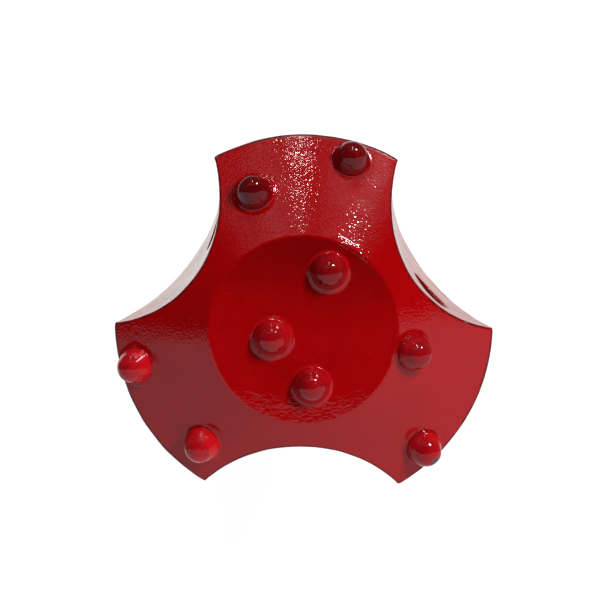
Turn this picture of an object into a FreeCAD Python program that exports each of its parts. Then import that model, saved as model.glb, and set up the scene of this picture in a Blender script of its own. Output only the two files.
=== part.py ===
# Three-winged arched button bit for a hollow self-drilling anchor bar.
# Millimetres, +Z is the drilling direction, origin at the centre of the skirt's end face.
import FreeCAD, Part
import math
import os
from FreeCAD import Vector

os.makedirs("parts", exist_ok=True)

# ---------------------------------------------------------------- driving dimensions
# head
TOTAL_H = 75.0            # skirt end to flat centre face
GAUGE_R = 38.0            # radius over the wings
FACE_R = 19.0             # radius of the flat centre face
BEVEL_DEG = 33.0          # wing faces fall away from the centre face by this angle
GAUGE_LAND = 1.2          # height of the cylindrical land at the gauge edge
EDGE_BREAK = 0.4          # broken edge at the gauge land
BACK_SLOPE = 1.88         # height lost per millimetre of radius behind the gauge land
BACK_FILLET_R = 9.0       # fillet between the head's back and the skirt

# skirt
SKIRT_R = 21.5
SKIRT_CHAMFER = 1.4

# arched flutes between the wings
FLUTE_R = 26.5            # radius of each arch
FLUTE_AXIS_R = 50.4       # distance of each arch's centre line from the bit's axis, at the flute's front edge
FLUTE_LEAN_DEG = 0.8      # flutes open out a little towards the back
FLUTE_AZ = (30.0, 150.0, 270.0)

# socket for the anchor bar, with a left-hand rope thread
PILOT_R = 16.4            # plain counterbore at the mouth
PILOT_L = 6.0
MOUTH_CHAMFER = 0.5
THREAD_CREST_R = 14.6     # radius over the thread's crests
THREAD_ROOT_R = 15.95     # radius at the bottom of the rope groove
THREAD_PITCH = 12.7
GROOVE_R = 4.2            # radius of the round groove
RELIEF_R = 16.4           # thread run-out groove before the rod stop
RELIEF_L = 5.0
ROD_STOP_Z = 49.0         # the bar's end butts here
CHAMBER_R = 11.0          # flushing chamber in front of the bar
CHAMBER_TOP = 60.0
CHAMBER_TIP = 62.0

# flushing holes, one in each flute
FLUSH_R = 4.0
FLUSH_OFFSET_DEG = -15.2  # around the axis, from the middle of its flute
FLUSH_MOUTH_R = 25.6      # the hole's axis meets the flute at this radius and height
FLUSH_MOUTH_Z = 60.7
FLUSH_RISE_DEG = 23.0     # the hole climbs outwards

# carbide buttons, all alike
BTN_R = 3.625             # shank radius
BTN_SHANK = 8.0           # depth in the socket
BTN_BAND = 0.8            # cylinder standing out of the face
BTN_NOSE_R = 3.05         # spherical nose, tangent to a short cone that rises from the band
BTN_TIP_H = 5.0           # how far the nose stands out of the face
BTN_FOOT_CHAMFER = 0.5

# (name, radius on the face, azimuth)
CENTRE_BUTTONS = (("centre_button_1", 6.4, -167.0),
                  ("centre_button_2", 11.1, -80.6),
                  ("centre_button_3", 13.0, 67.7))
INNER_BUTTONS = (("inner_button_1", 22.2, -11.1),
                 ("inner_button_2", 28.4, 111.0),
                 ("inner_button_3", 31.1, -129.7))
GAUGE_BUTTONS = (("gauge_button_1", 34.4, 74.8),
                 ("gauge_button_2", 34.4, -165.2),
                 ("gauge_button_3", 34.4, -45.2))

# ---------------------------------------------------------------- derived dimensions
BEVEL_T = math.tan(math.radians(BEVEL_DEG))
GAUGE_Z = TOTAL_H - (GAUGE_R - FACE_R) * BEVEL_T      # front edge of the gauge land
BACK_Z = GAUGE_Z - GAUGE_LAND                          # back edge of the gauge land
FLUTE_FLOOR_R = FLUTE_AXIS_R - FLUTE_R
FLUTE_EDGE_Z = GAUGE_Z + (GAUGE_R - FLUTE_FLOOR_R) * BEVEL_T
Z = Vector(0, 0, 1)


def polar(r, az, z=0.0):
    a = math.radians(az)
    return Vector(r * math.cos(a), r * math.sin(a), z)


def revolve(edges):
    return Part.Face(Part.Wire(edges)).revolve(Vector(0, 0, 0), Z, 360.0)


def line(a, b):
    return Part.LineSegment(Vector(a[0], 0, a[1]), Vector(b[0], 0, b[1])).toShape()


def polyline(points):
    return [line(points[i], points[(i + 1) % len(points)]) for i in range(len(points))]


# ---------------------------------------------------------------- outside of the body
def outside():
    # profile in the XZ plane, from the axis at the skirt end round to the axis at the face
    cone_end_z = BACK_Z - (GAUGE_R - SKIRT_R) * BACK_SLOPE
    # fillet between the vertical skirt and the sloping back: both tangent to the arc
    slope_len = math.hypot(1.0, BACK_SLOPE)
    ux, uz = 1.0 / slope_len, BACK_SLOPE / slope_len   # along the back, outwards and up
    turn = math.atan2(ux, uz)                          # angle between skirt line and back line
    t = BACK_FILLET_R * math.tan(turn / 2.0)
    a = (SKIRT_R, cone_end_z - t)
    b = (SKIRT_R + ux * t, cone_end_z + uz * t)
    centre = (SKIRT_R + BACK_FILLET_R, cone_end_z - t)
    am = math.pi - turn / 2.0
    m = (centre[0] + BACK_FILLET_R * math.cos(am), centre[1] + BACK_FILLET_R * math.sin(am))
    arc = Part.Arc(Vector(a[0], 0, a[1]), Vector(m[0], 0, m[1]), Vector(b[0], 0, b[1])).toShape()

    e = EDGE_BREAK
    lower = (GAUGE_R - e * ux, BACK_Z - e * uz)
    front = (GAUGE_R - e, GAUGE_Z + e * BEVEL_T)
    pts1 = [(0, 0), (SKIRT_R - SKIRT_CHAMFER, 0), (SKIRT_R, SKIRT_CHAMFER), a]
    edges = [line(pts1[i], pts1[i + 1]) for i in range(len(pts1) - 1)]
    edges.append(arc)
    pts2 = [b, lower, (GAUGE_R, BACK_Z + e * 0.2), (GAUGE_R, GAUGE_Z - e * 0.2), front,
            (FACE_R, TOTAL_H), (0, TOTAL_H), (0, 0)]
    edges += [line(pts2[i], pts2[i + 1]) for i in range(len(pts2) - 1)]
    shape = revolve(edges)
    shape.rotate(Vector(0, 0, 0), Z, FLUTE_AZ[0])
    return shape


def round_tool(radius, start, end, seam):
    # a cylinder from start to end whose seam line faces the direction seam
    d = end - start
    c = Part.makeCylinder(radius, d.Length)
    c.Placement = FreeCAD.Placement(start, FreeCAD.Rotation(seam, Vector(0, 0, 0), d, "ZXY"))
    return c


def flute(az):
    # a round arch swept along a line that leans outwards towards the back
    top = TOTAL_H + 12.0
    bottom = -12.0
    lean = math.tan(math.radians(FLUTE_LEAN_DEG))
    start = Vector(FLUTE_AXIS_R + (FLUTE_EDGE_Z - bottom) * lean, 0, bottom)
    end = Vector(FLUTE_AXIS_R + (FLUTE_EDGE_Z - top) * lean, 0, top)
    shape = Part.Face(Part.Wire(Part.makeCircle(FLUTE_R, start))).extrude(end - start)
    shape.rotate(Vector(0, 0, 0), Z, az)
    return shape


# ---------------------------------------------------------------- inside of the body
def rope_groove():
    z0 = PILOT_L - 4.0
    height = ROD_STOP_Z - RELIEF_L + 2.5 - z0
    path_r = THREAD_ROOT_R - GROOVE_R
    helix = Part.makeHelix(THREAD_PITCH, height, path_r, 0, True)
    helix.translate(Vector(0, 0, z0))
    start = helix.Edges[0]
    p = start.valueAt(start.FirstParameter)
    d = start.tangentAt(start.FirstParameter)
    profile = Part.Wire([Part.makeCircle(GROOVE_R, p, d)])
    path = Part.Wire(helix.Edges)
    return path.makePipeShell([profile], True, True)


def bore_tools():
    tools = []
    # pilot with a chamfered mouth
    tools.append(revolve(polyline([(0, -1), (PILOT_R + MOUTH_CHAMFER + 1, -1),
                                   (PILOT_R + MOUTH_CHAMFER, 0), (PILOT_R, MOUTH_CHAMFER),
                                   (PILOT_R, PILOT_L), (THREAD_CREST_R, PILOT_L + 1.2),
                                   (0, PILOT_L + 1.2)])))
    # core over the crests, run-out groove, flushing chamber with a shallow domed end
    relief = ROD_STOP_Z - RELIEF_L
    tools.append(revolve(polyline([(0, PILOT_L), (THREAD_CREST_R, PILOT_L),
                                   (THREAD_CREST_R, relief - 1.2), (RELIEF_R, relief),
                                   (RELIEF_R, ROD_STOP_Z), (CHAMBER_R, ROD_STOP_Z),
                                   (CHAMBER_R, CHAMBER_TOP), (0, CHAMBER_TIP)])))
    return tools


def flush_hole(az):
    rise = math.radians(FLUSH_RISE_DEG)
    a = az + FLUSH_OFFSET_DEG
    mouth = polar(FLUSH_MOUTH_R, a, FLUSH_MOUTH_Z)
    d = polar(math.cos(rise), a, math.sin(rise))
    inner = mouth - d * ((FLUSH_MOUTH_R - 5.0) / math.cos(rise))
    outer = mouth + d * 9.0
    return round_tool(FLUSH_R, inner, outer, Z)


# ---------------------------------------------------------------- buttons
def seat(r, az):
    # foot point on the face and the outward normal there
    if r <= FACE_R:
        return polar(r, az, TOTAL_H), Vector(0, 0, 1)
    s, c = math.sin(math.radians(BEVEL_DEG)), math.cos(math.radians(BEVEL_DEG))
    return polar(r, az, GAUGE_Z + (GAUGE_R - r) * BEVEL_T), polar(s, az, c)


def place(shape, foot, normal):
    rot = FreeCAD.Rotation(Z, normal)
    shape.Placement = FreeCAD.Placement(foot, rot)
    return shape


def button(foot, normal):
    # the cone is the tangent from the band's upper edge to the nose circle
    centre_h = BTN_TIP_H - BTN_NOSE_R
    reach = math.hypot(BTN_R, BTN_BAND - centre_h)
    cone = math.atan2(BTN_BAND - centre_h, BTN_R) + math.acos(BTN_NOSE_R / reach)
    shoulder = (BTN_NOSE_R * math.cos(cone), centre_h + BTN_NOSE_R * math.sin(cone))
    am = (cone + math.pi / 2.0) / 2.0
    arc = Part.Arc(Vector(shoulder[0], 0, shoulder[1]),
                   Vector(BTN_NOSE_R * math.cos(am), 0, centre_h + BTN_NOSE_R * math.sin(am)),
                   Vector(0, 0, BTN_TIP_H)).toShape()
    c = BTN_FOOT_CHAMFER
    pts = [(0, BTN_TIP_H), (0, -BTN_SHANK), (BTN_R - c, -BTN_SHANK), (BTN_R, -BTN_SHANK + c),
           (BTN_R, BTN_BAND), shoulder]
    edges = [line(pts[i], pts[i + 1]) for i in range(len(pts) - 1)] + [arc]
    return place(revolve(edges), foot, normal), BTN_TIP_H


def socket(foot, normal):
    # same depth as the shank, open above the face
    c = BTN_FOOT_CHAMFER
    s = revolve(polyline([(0, -BTN_SHANK), (BTN_R - c, -BTN_SHANK), (BTN_R, -BTN_SHANK + c),
                          (BTN_R, 6.0), (0, 6.0)]))
    return place(s, foot, normal)


def take(shape, tool, name, least):
    # a cut that has to remove at least so many cubic millimetres
    result = shape.cut(tool)
    gone = shape.Volume - result.Volume
    print("%-14s takes %8.1f mm3" % (name, gone))
    if gone < least:
        raise SystemExit("%s takes too little" % name)
    return result


# ---------------------------------------------------------------- build
body = outside()
for az in FLUTE_AZ:
    body = take(body, flute(az), "flute %g" % az, 5000.0)
for tool in bore_tools():
    body = take(body, tool, "bore", 4000.0)
body = take(body, rope_groove(), "rope groove", 1000.0)
for az in FLUTE_AZ:
    body = take(body, flush_hole(az), "flush hole %g" % az, 500.0)

buttons = {}
for name, r, az in CENTRE_BUTTONS + INNER_BUTTONS + GAUGE_BUTTONS:
    foot, normal = seat(r, az)
    body = take(body, socket(foot, normal), name, 300.0)
    buttons[name], tip = button(foot, normal)

if body.ShapeType == "Compound" and len(body.Solids) == 1:
    body = body.Solids[0]

shapes = {"bit_body": body}
shapes.update(buttons)
for name, shape in shapes.items():
    if not shape.isValid() or len(shape.Solids) != 1:
        raise SystemExit("%s: valid %s, solids %d" % (name, shape.isValid(), len(shape.Solids)))
    shape.exportStep("parts/%s.step" % name)
    bb = shape.BoundBox
    print("%-16s %9.1f mm3  faces %d  x %.2f %.2f  y %.2f %.2f  z %.2f %.2f" % (
        name, shape.Volume, len(shape.Faces), bb.XMin, bb.XMax, bb.YMin, bb.YMax, bb.ZMin, bb.ZMax))
print("gauge z %.3f  back z %.3f  flute front edge z %.3f  button height %.3f" % (
    GAUGE_Z, BACK_Z, FLUTE_EDGE_Z, tip))
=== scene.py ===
import math

import bmesh
import bpy
import numpy as np
from mathutils import Matrix, Vector
from mathutils.geometry import delaunay_2d_cdt


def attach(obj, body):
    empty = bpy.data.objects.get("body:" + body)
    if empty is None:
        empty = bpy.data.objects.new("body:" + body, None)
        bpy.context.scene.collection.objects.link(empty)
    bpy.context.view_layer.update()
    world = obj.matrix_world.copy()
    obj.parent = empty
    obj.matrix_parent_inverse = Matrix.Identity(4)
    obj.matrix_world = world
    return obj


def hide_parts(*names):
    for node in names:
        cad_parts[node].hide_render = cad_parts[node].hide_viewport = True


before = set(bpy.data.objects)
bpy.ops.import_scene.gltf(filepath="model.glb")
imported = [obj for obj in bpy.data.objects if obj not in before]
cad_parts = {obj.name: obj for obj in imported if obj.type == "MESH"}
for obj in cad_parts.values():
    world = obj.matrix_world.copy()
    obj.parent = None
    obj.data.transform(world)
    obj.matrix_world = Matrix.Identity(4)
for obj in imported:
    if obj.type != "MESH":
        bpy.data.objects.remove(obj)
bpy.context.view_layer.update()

# ------------------------------------------------------------------ sizes of the CAD frame, in millimetres
TOTAL_H, GAUGE_R, FACE_R, BEVEL_DEG = 75.0, 38.0, 19.0, 33.0
GAUGE_LAND, BACK_SLOPE, BACK_FILLET_R = 1.2, 1.88, 9.0
SKIRT_R, SKIRT_CHAMFER = 21.5, 1.4
FLUTE_R, FLUTE_AXIS_R, FLUTE_LEAN_DEG = 26.5, 50.4, 0.8
FLUTE_AZ = (30.0, 150.0, 270.0)
PILOT_R, PILOT_L, MOUTH_CHAMFER = 16.4, 6.0, 0.5
THREAD_CREST_R, THREAD_ROOT_R, THREAD_PITCH, GROOVE_R = 14.6, 15.95, 12.7, 4.2
RELIEF_R, RELIEF_L, ROD_STOP_Z = 16.4, 5.0, 49.0
CHAMBER_R, CHAMBER_TOP, CHAMBER_TIP = 11.0, 60.0, 62.0
FLUSH_R, FLUSH_OFFSET_DEG, FLUSH_MOUTH_R, FLUSH_MOUTH_Z, FLUSH_RISE_DEG = 4.0, -15.2, 25.6, 60.7, 23.0
BTN_R, BTN_SHANK, BTN_NOSE_R, BTN_TIP_H = 3.625, 8.0, 3.05, 5.0
BUTTONS = (("centre_button_1", 6.4, -167.0), ("centre_button_2", 11.1, -80.6), ("centre_button_3", 13.0, 67.7),
           ("inner_button_1", 22.2, -11.1), ("inner_button_2", 28.4, 111.0), ("inner_button_3", 31.1, -129.7),
           ("gauge_button_1", 34.4, 74.8), ("gauge_button_2", 34.4, -165.2), ("gauge_button_3", 34.4, -45.2))

T = math.tan(math.radians(BEVEL_DEG))
SB, CB = math.sin(math.radians(BEVEL_DEG)), math.cos(math.radians(BEVEL_DEG))
GAUGE_Z = TOTAL_H - (GAUGE_R - FACE_R) * T
BACK_Z = GAUGE_Z - GAUGE_LAND
FLUTE_EDGE_Z = GAUGE_Z + (GAUGE_R - FLUTE_AXIS_R + FLUTE_R) * T
LEAN = math.tan(math.radians(FLUTE_LEAN_DEG))
UX, UZ = 1.0 / math.hypot(1.0, BACK_SLOPE), BACK_SLOPE / math.hypot(1.0, BACK_SLOPE)


# ------------------------------------------------------------------ noise, the same on every run
def _lattice(ix, iy, iz, seed):
    h = (ix * 374761393 + iy * 668265263 + iz * 1103515245 + seed * 1274126177) & 0xFFFFFFFF
    h = ((h ^ (h >> 13)) * 1274126177) & 0xFFFFFFFF
    return (h ^ (h >> 16)) & 0xFFFF


def noise(p, size, seed=0):
    """Smooth gradient noise of wavelength about size, mostly within -1 and 1."""
    q = np.asarray(p, float) / size
    i = np.floor(q).astype(np.int64)
    f = q - i
    u = f * f * f * (f * (f * 6 - 15) + 10)
    out = np.zeros(len(q))
    for c in range(8):
        d = np.array([c & 1, c >> 1 & 1, c >> 2 & 1])
        h = _lattice(i[:, 0] + d[0], i[:, 1] + d[1], i[:, 2] + d[2], seed)
        a = h / 65536.0 * 2 * math.pi
        z = (h * 40503 % 65536) / 32768.0 - 1.0
        s = np.sqrt(np.maximum(1 - z * z, 0))
        g = np.stack([np.cos(a) * s, np.sin(a) * s, z], 1)
        w = np.prod(np.where(d, u, 1 - u), axis=1)
        out += w * np.einsum("ij,ij->i", g, f - d)
    return out * 1.7


def step(x, a, b):
    t = np.clip((x - a) / (b - a), 0, 1)
    return t * t * (3 - 2 * t)


# ------------------------------------------------------------------ mesh pool: points and faces of one skin
class Pool:
    def __init__(self):
        self.blocks, self.faces, self.count = [], [], 0

    def add(self, pts):
        pts = np.asarray(pts, float)
        self.blocks.append(pts)
        first = self.count
        self.count += len(pts)
        return np.arange(first, self.count)

    def tris(self, f):
        self.faces += [tuple(int(v) for v in t) for t in f]

    def strip(self, a, b, closed=True):
        """Quads between two rows of the same length."""
        n = len(a)
        for i in range(n if closed else n - 1):
            j = (i + 1) % n
            self.faces.append((int(a[i]), int(a[j]), int(b[j]), int(b[i])))

    def points(self):
        return np.concatenate(self.blocks)


def rot(az):
    a = math.radians(az)
    return np.array([[math.cos(a), -math.sin(a)], [math.sin(a), math.cos(a)]])


def flute_a(z):
    return FLUTE_AXIS_R + (FLUTE_EDGE_Z - z) * LEAN


def bevel_z(r):
    return GAUGE_Z + (GAUGE_R - r) * T


def front_z(x, y):
    return np.minimum(TOTAL_H, bevel_z(np.hypot(x, y)))


# ------------------------------------------------------------------ outside shape as a distance, with rounded edges
def rounded_max(ds, radius):
    u = [np.maximum(d + radius, 0) for d in ds]
    length = np.sqrt(sum(x * x for x in u))
    inside = np.max(np.stack(ds), axis=0)
    return np.where(length > 0, length - radius, inside)


def hole_axis(az):
    a = math.radians(az + FLUSH_OFFSET_DEG)
    rise = math.radians(FLUSH_RISE_DEG)
    m = np.array([FLUSH_MOUTH_R * math.cos(a), FLUSH_MOUTH_R * math.sin(a), FLUSH_MOUTH_Z])
    d = np.array([math.cos(rise) * math.cos(a), math.cos(rise) * math.sin(a), math.sin(rise)])
    return m, d


DISC_ROUND, EDGE_ROUND, HOLE_ROUND = 0.22, 0.36, 0.55


def outside(p):
    x, y, z = p[:, 0], p[:, 1], p[:, 2]
    r = np.hypot(x, y)
    face = rounded_max([z - TOTAL_H, (r - FACE_R) * SB + (z - TOTAL_H) * CB], DISC_ROUND)
    ds = [face, r - GAUGE_R, (r - GAUGE_R) * UZ - (z - BACK_Z) * UX]
    for az in FLUTE_AZ:
        q = np.stack([x, y], 1) @ rot(az)
        ds.append(FLUTE_R - np.hypot(q[:, 0] - flute_a(z), q[:, 1]))
    body = rounded_max(ds, EDGE_ROUND)
    for az in FLUTE_AZ:
        m, d = hole_axis(az)
        v = p - m
        along = v @ d
        off = np.linalg.norm(v - along[:, None] * d, axis=1)
        near = (off < FLUSH_R + 2.5) & (along > -12)
        if near.any():
            body[near] = rounded_max([body[near], FLUSH_R - off[near]], HOLE_ROUND)
    return body


def gradient(p, f=outside, h=0.004):
    g = np.empty_like(p)
    for k in range(3):
        d = np.zeros(3)
        d[k] = h
        g[:, k] = (f(p + d) - f(p - d)) / (2 * h)
    return g


def settle(p, rounds=4):
    for _ in range(rounds):
        f = outside(p)
        g = gradient(p)
        p = p - (f / np.maximum((g * g).sum(1), 0.2))[:, None] * g
    return p


# ------------------------------------------------------------------ patches
def triangulate(pts, loops, inside, border):
    """Triangles over 2-D points, keeping the loops' edges. Whole areas between border loops stay or go, as inside() says of most of each."""
    edges = []
    for loop in loops:
        edges += [(int(loop[i]), int(loop[(i + 1) % len(loop)])) for i in range(len(loop))]
    vs, _, fs, orig, _, _ = delaunay_2d_cdt([Vector((float(a), float(b))) for a, b in pts], edges, [], 0, 1e-6)
    back = np.array([o[0] if o else -1 for o in orig])
    f = back[np.array([list(t) for t in fs])]
    f = f[(f >= 0).all(1)]
    a, b, c = pts[f[:, 0]], pts[f[:, 1]], pts[f[:, 2]]
    area = (b[:, 0] - a[:, 0]) * (c[:, 1] - a[:, 1]) - (b[:, 1] - a[:, 1]) * (c[:, 0] - a[:, 0])
    walls = set()
    for loop in border:
        for i in range(len(loop)):
            u, v = int(loop[i]), int(loop[(i + 1) % len(loop)])
            walls.add((min(u, v), max(u, v)))
    root = list(range(len(f)))

    def find(k):
        while root[k] != k:
            root[k] = root[root[k]]
            k = root[k]
        return k

    seen = {}
    for k, t in enumerate(f.tolist()):
        for u, v in ((t[0], t[1]), (t[1], t[2]), (t[2], t[0])):
            key = (u, v) if u < v else (v, u)
            if key in walls:
                continue
            if key in seen:
                root[find(k)] = find(seen[key])
            else:
                seen[key] = k
    label = np.array([find(k) for k in range(len(f))])
    vote = np.where(inside(pts[f].mean(1)), np.abs(area), -np.abs(area))
    total = np.bincount(label, weights=vote, minlength=len(f))
    keep = total[label] > 0.002
    f, area = f[keep], area[keep]
    return np.where((area > 0)[:, None], f, f[:, ::-1])


def hexes(x0, x1, y0, y1, h):
    rows = np.arange(y0, y1, h * math.sqrt(3) / 2)
    out = []
    for k, y in enumerate(rows):
        xs = np.arange(x0 + (k % 2) * h / 2, x1, h)
        out.append(np.stack([xs, np.full(len(xs), y)], 1))
    out = np.concatenate(out)
    j = np.stack([noise(np.c_[out / h * 0.73, np.full(len(out), 3.1)], 0.7, 5),
                  noise(np.c_[out / h * 0.73, np.full(len(out), 9.7)], 0.7, 6)], 1)
    return out + j * h * 0.16


# offset rows beside every edge
ROWS = (0.0, 0.09, 0.19, 0.31, 0.44)
N_FLUTE, N_GAUGE = 78, 58


def outline(d):
    """The head's outline in plan, d millimetres inside the true one: three flutes and three gauge arcs, in azimuth order."""
    pts = []
    R, F = GAUGE_R - d, FLUTE_R + d
    a_c = flute_a(bevel_z(R))
    psi_c = math.acos((a_c * a_c + F * F - R * R) / (2 * a_c * F))
    az_c = math.degrees(math.atan2(F * math.sin(psi_c), a_c - F * math.cos(psi_c)))
    for az in FLUTE_AZ:
        psi = np.linspace(-psi_c, psi_c, N_FLUTE + 1)[:-1]
        a = np.full(len(psi), FLUTE_AXIS_R)
        for _ in range(6):
            x, y = a - F * np.cos(psi), F * np.sin(psi)
            a = flute_a(bevel_z(np.hypot(x, y)))
        pts.append(np.stack([x, y], 1) @ rot(az).T)
        g = np.radians(np.linspace(az + az_c, az + 120 - az_c, N_GAUGE + 1)[:-1])
        pts.append(R * np.stack([np.cos(g), np.sin(g)], 1))
    return np.concatenate(pts)


def seat(r, az):
    a = math.radians(az)
    if r <= FACE_R:
        return np.array([r * math.cos(a), r * math.sin(a), TOTAL_H]), np.array([0.0, 0.0, 1.0])
    return (np.array([r * math.cos(a), r * math.sin(a), bevel_z(r)]),
            np.array([SB * math.cos(a), SB * math.sin(a), CB]))


def axes_of(n):
    e1 = np.cross(n, [0, 1, 0]) if abs(n[1]) < 0.9 else np.cross(n, [1, 0, 0])
    e1 /= np.linalg.norm(e1)
    return e1, np.cross(n, e1)


N_RIM = 72
# how far the enamel's foot stands up around a button, against the distance from its axis
FOOT_DISC = ((3.64, 0.70), (3.69, 0.50), (3.74, 0.35), (3.79, 0.26), (3.85, 0.198), (3.92, 0.143), (4.00, 0.082),
             (4.09, 0.038), (4.20, 0.014), (4.34, 0.003), (4.50, 0.0), (4.72, 0.0), (5.0, 0.0), (5.3, 0.0))
# the pool of enamel at a foot is wider on some buttons than on others, and two stand clear of it with a crease
FOOT_WIDER = {"centre_button_1": 0.36, "centre_button_2": 0.14, "centre_button_3": 0.20, "inner_button_1": 0.34,
              "inner_button_2": 0.32, "inner_button_3": 0.16, "gauge_button_2": 0.34, "gauge_button_3": 0.10}
CREASED = ("gauge_button_1",)
# how lumpy the enamel lies on a button, 1 where not named
LUMPY = {"gauge_button_2": 2.0, "gauge_button_3": 1.4, "inner_button_3": 1.8, "centre_button_3": 1.4, "inner_button_1": 0.6}
# how far the enamel dried dull and wrinkled on a button, 0 where not named
MATT = {"inner_button_3": 1.0}
# how bright the enamel is on each button: thin over dark carbide on two, thick and bright on others
TONE = {"centre_button_1": 0.64, "centre_button_2": 0.62, "centre_button_3": 0.44, "inner_button_1": 0.57,
        "inner_button_2": 0.23, "inner_button_3": 0.88, "gauge_button_1": 0.27, "gauge_button_2": 0.84, "gauge_button_3": 0.69}
FOOT_BEVEL = ((3.64, 0.50), (3.71, 0.20), (3.78, 0.065), (3.87, 0.020), (3.97, 0.010), (4.07, 0.006), (4.17, 0.003),
              (4.27, 0.001), (4.36, 0.0), (4.50, 0.0), (4.80, 0.0), (5.15, 0.0))


def button_ring(foot, n, rho, count=N_RIM):
    """Points on the front face at distance rho from a button's axis."""
    e1, e2 = axes_of(n)
    t = np.linspace(0, 2 * math.pi, count + 1)[:-1]
    p = foot + rho * (np.cos(t)[:, None] * e1 + np.sin(t)[:, None] * e2)
    for _ in range(8):
        gap = p[:, 2] - front_z(p[:, 0], p[:, 1])
        p = p - (gap * CB / (n[2] if n[2] < 1 else 1))[:, None] * n if n[2] < 1 else p - gap[:, None] * n
    return p


def build_body():
    pool = Pool()
    regions = {}

    # --- front face: the outline band, then a triangulated field with rings round the buttons
    rows = []
    for d in ROWS:
        q = outline(d)
        rows.append(pool.add(np.c_[q, front_z(q[:, 0], q[:, 1])]))
    for a, b in zip(rows[:-1], rows[1:]):
        pool.strip(b, a)
    edge_top = rows[0]
    last = outline(ROWS[-1])

    flat, loops, ids = [last], [np.arange(len(last))], [rows[-1]]
    at = len(last)
    seats = {name: seat(r, az) for name, r, az in BUTTONS}
    rims, rim_loops = {}, []

    def push(p3, loop=True):
        nonlocal at
        flat.append(p3[:, :2])
        k = pool.add(p3)
        ids.append(k)
        if loop:
            loops.append(np.arange(at, at + len(p3)))
        at += len(p3)
        return k

    rings = []
    for name, r, az in BUTTONS:
        foot, n = seats[name]
        prof = FOOT_BEVEL if name in CREASED else FOOT_DISC
        for k, (rho, h) in enumerate(prof):
            p = button_ring(foot, n, rho)
            rim_gap = np.hypot(p[:, 0], p[:, 1])
            if k == 0:
                rims[name] = push(p)
                rim_loops.append(loops[-1])
            else:
                # rings close to the outline or the disc's edge give way there
                keep = rim_gap < GAUGE_R - ROWS[-1] - 0.12
                for f_az in FLUTE_AZ:
                    q = p[:, :2] @ rot(f_az)
                    keep &= np.hypot(q[:, 0] - flute_a(p[:, 2]), q[:, 1]) > FLUTE_R + ROWS[-1] + 0.12
                keep &= np.abs(rim_gap - FACE_R) > 0.62 if k > 4 else True
                if keep.all():
                    push(p)
                else:
                    push(p[keep], loop=False)
        rings.append((foot, n, prof[-1][0]))
    # disc edge
    disc_n = 300
    for d in (-0.6, -0.36, -0.2, -0.08, 0.0, 0.08, 0.2, 0.36, 0.6):
        t = np.linspace(0, 2 * math.pi, disc_n + 1)[:-1]
        r = FACE_R + d
        p = np.stack([r * np.cos(t), r * np.sin(t)], 1)
        p = np.c_[p, front_z(p[:, 0], p[:, 1])]
        keep = np.ones(len(p), bool)
        for foot, n, far in rings:
            v = p - foot
            off = np.linalg.norm(v - (v @ n)[:, None] * n, axis=1)
            keep &= off > 4.95
        push(p if keep.all() else p[keep], loop=bool(keep.all()))
    # field
    f2 = hexes(-GAUGE_R, GAUGE_R, -GAUGE_R, GAUGE_R, 0.43)
    f3 = np.c_[f2, front_z(f2[:, 0], f2[:, 1])]
    r = np.hypot(f2[:, 0], f2[:, 1])
    keep = (r < GAUGE_R - ROWS[-1] - 0.22) & (np.abs(r - FACE_R) > 0.78)
    for f_az in FLUTE_AZ:
        q = f2 @ rot(f_az)
        keep &= np.hypot(q[:, 0] - flute_a(f3[:, 2]), q[:, 1]) > FLUTE_R + ROWS[-1] + 0.22
    for foot, n, far in rings:
        v = f3 - foot
        off = np.linalg.norm(v - (v @ n)[:, None] * n, axis=1)
        keep &= (off > far + 0.22) | ((v @ n) < -6)
    push(f3[keep], loop=False)
    flat = np.concatenate(flat)
    ids = np.concatenate(ids)
    allp = pool.points()[ids]

    def inside(mid):
        m3 = np.c_[mid, front_z(mid[:, 0], mid[:, 1])]
        ok = np.hypot(mid[:, 0], mid[:, 1]) < GAUGE_R - ROWS[-1]
        for f_az in FLUTE_AZ:
            q = mid @ rot(f_az)
            ok &= np.hypot(q[:, 0] - flute_a(m3[:, 2]), q[:, 1]) > FLUTE_R + ROWS[-1] - 1e-3
        for foot, n, far in rings:
            v = m3 - foot
            off = np.linalg.norm(v - (v @ n)[:, None] * n, axis=1)
            ok &= off > 3.63
        return ok

    pool.tris(ids[triangulate(flat, loops, inside, [loops[0]] + rim_loops)])

    # --- sides
    n_col = len(edge_top)
    # back edge of the head, under the same columns
    top = pool.points()[edge_top]
    back2 = []
    k = 0
    psi_back = []
    for az in FLUTE_AZ:
        a_c = flute_a(BACK_Z)
        psi_c = math.acos((a_c * a_c + FLUTE_R ** 2 - GAUGE_R ** 2) / (2 * a_c * FLUTE_R))
        az_c = math.degrees(math.atan2(FLUTE_R * math.sin(psi_c), a_c - FLUTE_R * math.cos(psi_c)))
        # even steps along the bottom edge, which is longer than the top one
        psi = np.linspace(-psi_c, psi_c, 2001)
        z = np.full(len(psi), 50.0)
        for _ in range(30):
            a = flute_a(z)
            x, y = a - FLUTE_R * np.cos(psi), FLUTE_R * np.sin(psi)
            z = BACK_Z - (GAUGE_R - np.hypot(x, y)) * BACK_SLOPE
        ln = np.r_[0, np.cumsum(np.hypot(np.diff(psi) * FLUTE_R, np.diff(z)))]
        want = np.linspace(0, ln[-1], N_FLUTE + 1)[:-1]
        ps = np.interp(want, ln, psi)
        psi_back.append(ps)
        zz = np.interp(ps, psi, z)
        for _ in range(30):
            a = flute_a(zz)
            x, y = a - FLUTE_R * np.cos(ps), FLUTE_R * np.sin(ps)
            zz = BACK_Z - (GAUGE_R - np.hypot(x, y)) * BACK_SLOPE
        back2.append(np.c_[np.stack([x, y], 1) @ rot(az).T, zz])
        g = np.radians(np.linspace(az + az_c, az + 120 - az_c, N_GAUGE + 1)[:-1])
        back2.append(np.c_[GAUGE_R * np.cos(g), GAUGE_R * np.sin(g), np.full(len(g), BACK_Z)])
    back = np.concatenate(back2)
    edge_back = pool.add(back)

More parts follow.
